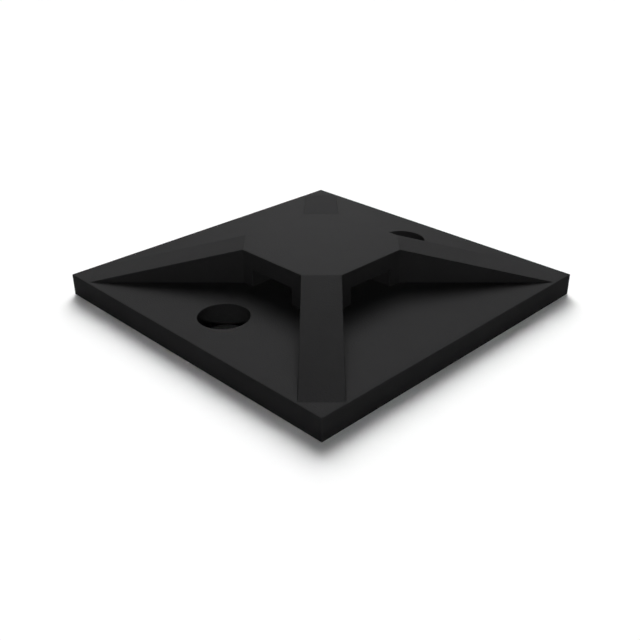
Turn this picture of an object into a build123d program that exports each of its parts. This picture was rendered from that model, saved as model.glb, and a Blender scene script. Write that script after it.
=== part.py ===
from build123d import *
import math
import os

# Driving dimensions, in millimetres
plate_side = 38.0                  # square base plate, edge to edge
plate_thickness = 2.4

tie_width = 4.8                    # the cable tie that threads under the bridge
tie_thickness = 1.3
tie_side_clearance = 0.55          # free space beside the tie, each side
tie_headroom = 0.6                 # free space above the tie

bridge_thickness = 1.85            # roof over the tie slots
pier_width = 1.4                   # wall left beside each slot, on the platform's long sides

rib_width = 4.0
rib_toe_margin = 0.2               # from the ends of a rib's toe line to the plate's sides

screw_diameter = 5.0
screw_clearance = 0.2              # on the diameter
screw_edge_distance = 5.5          # from a hole's centre to the nearest side of the plate

# The tie slots, and the platform whose long sides they open in
slot_width = tie_width + 2 * tie_side_clearance
slot_height = tie_thickness + tie_headroom
platform_height = slot_height + bridge_thickness
long_side = slot_width + 2 * pier_width
corner_cut = rib_width / math.sqrt(2)
platform_across = long_side + 2 * corner_cut

# The ribs lie on the plate's diagonals, where distances are measured from the centre
plate_corner = plate_side / math.sqrt(2)
rib_start = (platform_across - corner_cut) / math.sqrt(2)
rib_toe = plate_corner - rib_width / 2 - rib_toe_margin * math.sqrt(2)

# The screw holes face each other across the platform, on the X axis
hole_radius = (screw_diameter + screw_clearance) / 2
hole_offset = plate_side / 2 - screw_edge_distance

plate_top = Plane.XY.offset(plate_thickness)


def base_plate():
    """The flat square slab. Its underside is the mounting face, at Z = 0."""
    return extrude(Rectangle(plate_side, plate_side), plate_thickness)


def platform():
    """The raised block in the middle: a square with cut corners, each cut as wide as a rib."""
    square = Rectangle(platform_across, platform_across)
    outline = chamfer(square.vertices(), corner_cut)
    return plate_top * extrude(outline, platform_height)


def rib():
    """One straight rib along X, level inside the platform and then sloping to a sharp toe on the plate."""
    side_view = Polyline(
        (0, 0),
        (0, platform_height),
        (rib_start, platform_height),
        (rib_toe, 0),
        close=True,
    )
    return plate_top * extrude(Plane.XZ * make_face(side_view), rib_width / 2, both=True)


def tie_tunnel():
    """One straight passage along X for the tie, its floor level with the plate's top face."""
    return plate_top * extrude(Rectangle(plate_side, slot_width), slot_height)


def screw_hole():
    """One plain round hole through the plate, at the origin."""
    return extrude(Circle(hole_radius), plate_thickness)


# One moulding: the ribs run out to the plate's corners, and the tunnels cross under the platform
ribs = PolarLocations(0, 4, start_angle=45) * rib()
tie_tunnels = PolarLocations(0, 2, angular_range=180) * tie_tunnel()
screw_holes = Locations((-hole_offset, 0), (hole_offset, 0)) * screw_hole()
tie_mount = base_plate() + platform() + ribs - tie_tunnels - screw_holes

os.makedirs("parts", exist_ok=True)
export_step(tie_mount, "parts/tie_mount.step")
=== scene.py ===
import bpy
import math
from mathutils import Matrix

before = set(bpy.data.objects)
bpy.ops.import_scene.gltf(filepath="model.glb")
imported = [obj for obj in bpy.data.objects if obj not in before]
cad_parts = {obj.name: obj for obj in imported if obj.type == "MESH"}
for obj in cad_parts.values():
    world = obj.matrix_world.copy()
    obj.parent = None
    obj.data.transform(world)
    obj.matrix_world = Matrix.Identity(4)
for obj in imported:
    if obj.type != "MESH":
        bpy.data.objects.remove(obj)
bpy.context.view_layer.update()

# The cable tie mount.
# One injection moulding in black nylon, with no assembly: plate, ribs and bridge leave the mould as one.
# The steel mould is spark-eroded, so every face has a fine matte grain, and no edge is knife sharp.
edge_radius = 0.00008
edge_steps = 3
sharpest_unrounded_turn = math.radians(10)
flat_tolerance = math.radians(0.5)
weld_distance = 0.000001
large_face_weight = 100

darker_black = (0.0160, 0.0160, 0.0164, 1)
lighter_black = (0.0180, 0.0180, 0.0184, 1)
smoothest = 0.485
roughest = 0.515
refractive_index = 1.53
gloss_level = 0.0003
cloud_width = 0.004
cloud_detail = 3.0
cloud_low = 0.3
cloud_high = 0.7
grain_width = 0.00016
grain_depth = 0.00003
grain_detail = 2.0


def black_nylon():
    """Matte black nylon with a fine mould grain, slightly cloudy in colour and sheen."""
    material = bpy.data.materials.new("moulded_black_nylon")
    material.use_nodes = True
    nodes = material.node_tree.nodes
    links = material.node_tree.links
    shader = nodes["Principled BSDF"]
    shader.inputs["IOR"].default_value = refractive_index
    shader.inputs["Specular IOR Level"].default_value = gloss_level
    place = nodes.new("ShaderNodeTexCoord")

    clouds = nodes.new("ShaderNodeTexNoise")
    clouds.inputs["Scale"].default_value = 1 / cloud_width
    clouds.inputs["Detail"].default_value = cloud_detail
    links.new(place.outputs["Object"], clouds.inputs["Vector"])

    colour = nodes.new("ShaderNodeValToRGB")
    colour.color_ramp.elements[0].position = cloud_low
    colour.color_ramp.elements[0].color = darker_black
    colour.color_ramp.elements[1].position = cloud_high
    colour.color_ramp.elements[1].color = lighter_black
    links.new(clouds.outputs["Fac"], colour.inputs["Fac"])
    links.new(colour.outputs["Color"], shader.inputs["Base Color"])

    sheen = nodes.new("ShaderNodeMapRange")
    sheen.inputs["From Min"].default_value = cloud_low
    sheen.inputs["From Max"].default_value = cloud_high
    sheen.inputs["To Min"].default_value = smoothest
    sheen.inputs["To Max"].default_value = roughest
    links.new(clouds.outputs["Fac"], sheen.inputs["Value"])
    links.new(sheen.outputs["Result"], shader.inputs["Roughness"])

    grain = nodes.new("ShaderNodeTexNoise")
    grain.inputs["Scale"].default_value = 1 / grain_width
    grain.inputs["Detail"].default_value = grain_detail
    links.new(place.outputs["Object"], grain.inputs["Vector"])
    relief = nodes.new("ShaderNodeBump")
    relief.inputs["Strength"].default_value = 1.0
    relief.inputs["Distance"].default_value = grain_depth
    links.new(grain.outputs["Fac"], relief.inputs["Height"])
    links.new(relief.outputs["Normal"], shader.inputs["Normal"])
    return material


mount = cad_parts["tie_mount"]
mount.material_slots[0].material = black_nylon()
joined = mount.modifiers.new("joined_triangles", "WELD")
joined.merge_threshold = weld_distance
whole_faces = mount.modifiers.new("whole_faces", "DECIMATE")
whole_faces.decimate_type = "DISSOLVE"
whole_faces.angle_limit = flat_tolerance
rounded = mount.modifiers.new("rounded_edges", "BEVEL")
rounded.width = edge_radius
rounded.segments = edge_steps
rounded.limit_method = "ANGLE"
rounded.angle_limit = sharpest_unrounded_turn
rounded.use_clamp_overlap = False
even_shading = mount.modifiers.new("even_shading", "WEIGHTED_NORMAL")
even_shading.weight = large_face_weight

# The floor.
# A wide sheet of plain white paper, level with the mount's underside.
# It reaches well past the edge of the picture.
floor_width = 6.0
paper_white = (0.97, 0.97, 0.97, 1)
paper = bpy.data.materials.new("white_paper")
paper.use_nodes = True
paper_shader = paper.node_tree.nodes["Principled BSDF"]
paper_shader.inputs["Base Color"].default_value = paper_white
paper_shader.inputs["Roughness"].default_value = 1.0
paper_shader.inputs["Specular IOR Level"].default_value = 0.0
floor_mesh = bpy.data.meshes.new("floor")
half = floor_width / 2
floor_corners = [(-half, -half, 0), (half, -half, 0), (half, half, 0), (-half, half, 0)]
floor_mesh.from_pydata(floor_corners, [], [(0, 1, 2, 3)])
floor_mesh.materials.append(paper)
floor = bpy.data.objects.new("floor", floor_mesh)
bpy.context.scene.collection.objects.link(floor)

# The light.
# A broad soft lamp stands behind the mount, with a row of three smaller ones that only make the sheen.
# A weak lamp in front stands too low to shine through the screw holes onto the floor.
# The surroundings are white to the camera and in reflections, and give a dim even fill.
towards_camera = 225
away_from_camera = 45
sheen_breadth = 20
aside = 30
fill_strength = 0.01
white_strength = 1.0


def far_lamp(name, strength, breadth, height_angle, bearing, only_sheen=False):
    """A soft round lamp, far off, with its angles in degrees.

    Its bearing is the way its light travels, clockwise from +Y.
    """
    light = bpy.data.lights.new(name, "SUN")
    light.energy = strength
    light.angle = math.radians(breadth)
    lamp = bpy.data.objects.new(name, light)
    lamp.rotation_euler = (math.radians(90 - height_angle), 0, math.radians(-bearing))
    lamp.visible_diffuse = not only_sheen
    lamp.visible_glossy = only_sheen
    bpy.context.scene.collection.objects.link(lamp)


def sheen_lamp(name, strength, height_angle, bearing):
    """A far lamp that is seen only in the mount's sheen."""
    far_lamp(name, strength, sheen_breadth, height_angle, bearing, only_sheen=True)


far_lamp("main_lamp", strength=4.85, breadth=46, height_angle=37, bearing=towards_camera)
sheen_lamp("middle_sheen_lamp", strength=46, height_angle=36, bearing=towards_camera)
sheen_lamp("left_sheen_lamp", strength=22, height_angle=30, bearing=towards_camera - aside)
sheen_lamp("right_sheen_lamp", strength=22, height_angle=30, bearing=towards_camera + aside)
far_lamp("front_lamp", strength=1.12, breadth=3.5, height_angle=23, bearing=away_from_camera)

world = bpy.data.worlds.new("white_studio")
bpy.context.scene.world = world
world.use_nodes = True
world_nodes = world.node_tree.nodes
world_links = world.node_tree.links
fill = world_nodes["Background"]
fill.inputs["Color"].default_value = (1, 1, 1, 1)
fill.inputs["Strength"].default_value = fill_strength
white = world_nodes.new("ShaderNodeBackground")
white.inputs["Color"].default_value = (1, 1, 1, 1)
white.inputs["Strength"].default_value = white_strength
ray = world_nodes.new("ShaderNodeLightPath")
seen = world_nodes.new("ShaderNodeMath")
seen.operation = "MAXIMUM"
seen_or_reflected = world_nodes.new("ShaderNodeMath")
seen_or_reflected.operation = "MAXIMUM"
choose = world_nodes.new("ShaderNodeMixShader")
world_links.new(ray.outputs["Is Camera Ray"], seen.inputs[0])
world_links.new(ray.outputs["Is Glossy Ray"], seen.inputs[1])
world_links.new(seen.outputs["Value"], seen_or_reflected.inputs[0])
world_links.new(ray.outputs["Is Transmission Ray"], seen_or_reflected.inputs[1])
world_links.new(seen_or_reflected.outputs["Value"], choose.inputs["Fac"])
world_links.new(fill.outputs["Background"], choose.inputs[1])
world_links.new(white.outputs["Background"], choose.inputs[2])
world_links.new(choose.outputs["Shader"], world_nodes["World Output"].inputs["Surface"])
bpy.context.scene.view_settings.view_transform = "Standard"

# The camera.
# It looks along the plate's diagonal, down over the nearest corner, as in the photograph.
# Its place, its turn and its lens were solved from the plate's corners there.
focal_length = 47.19
sensor_width = 36.0
nearest_seen = 0.005
camera_place = (-0.058016, -0.057774, 0.041128)
downward_angle = 28.437
heading = 45.024
lens = bpy.data.cameras.new("camera")
lens.lens = focal_length
lens.sensor_width = sensor_width
lens.clip_start = nearest_seen
camera = bpy.data.objects.new("camera", lens)
camera.location = camera_place
camera.rotation_euler = (math.radians(90 - downward_angle), 0, math.radians(-heading))
bpy.context.scene.collection.objects.link(camera)
bpy.context.scene.camera = camera
